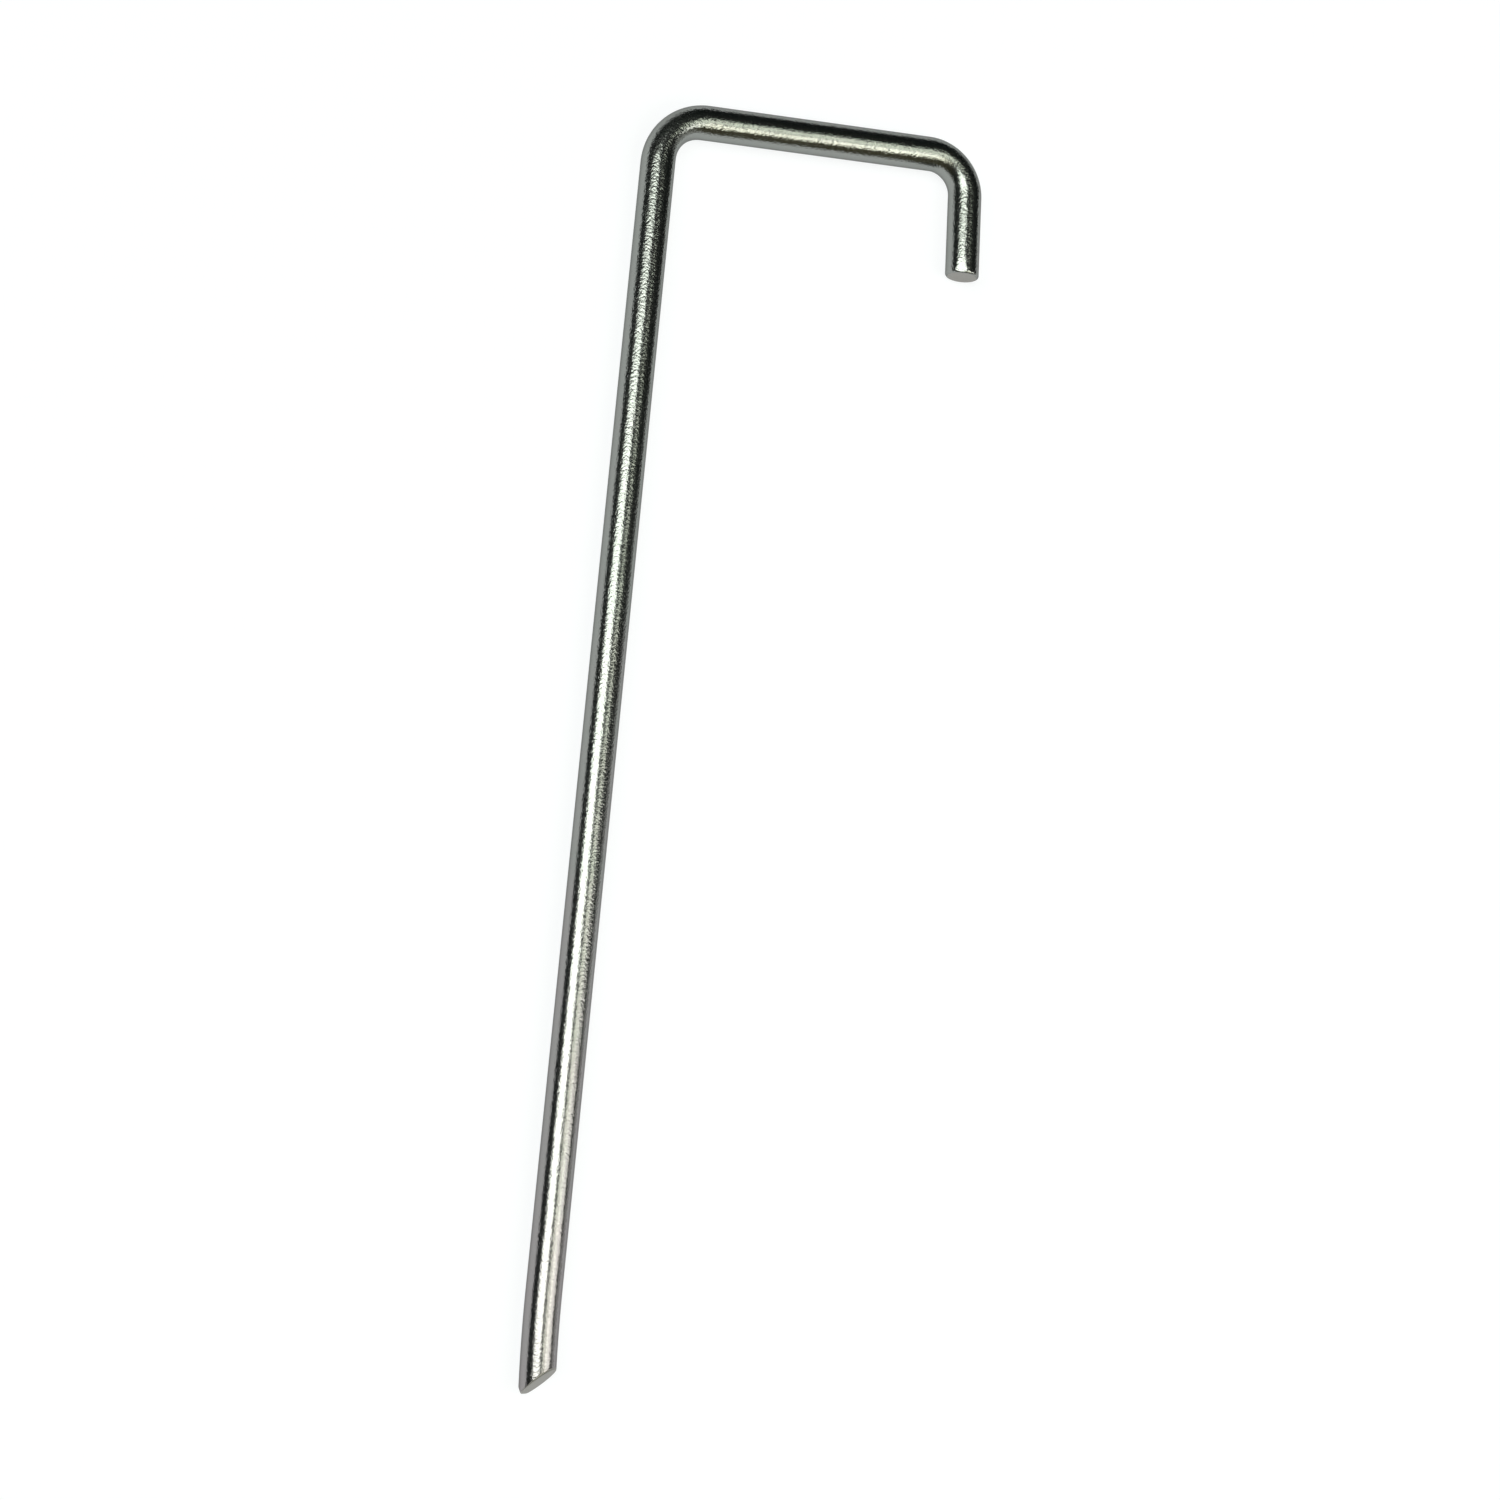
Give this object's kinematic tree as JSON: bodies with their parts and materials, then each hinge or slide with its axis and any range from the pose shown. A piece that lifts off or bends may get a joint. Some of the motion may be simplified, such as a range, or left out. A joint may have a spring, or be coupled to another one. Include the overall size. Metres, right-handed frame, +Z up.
{
  "type": "ground peg",
  "caption": "Ground peg of round zinc-plated steel wire: a straight shank sheared to a point, bent over at the head into a square hook that holds down a loop, ring or cord.",
  "frame": {"origin": "middle of the peg's outline seen from above, on the surface it lies on", "axes": "+Y up the shank from the point to the head, +X from the shank to the hook, +Z up off the surface"},
  "size_m": [0.053, 0.1838, 0.005],
  "materials": {
    "steel": "satin zinc plating over drawn wire"
  },
  "bodies": {
    "root": {"peg": "steel"}
  },
  "joints": []
}
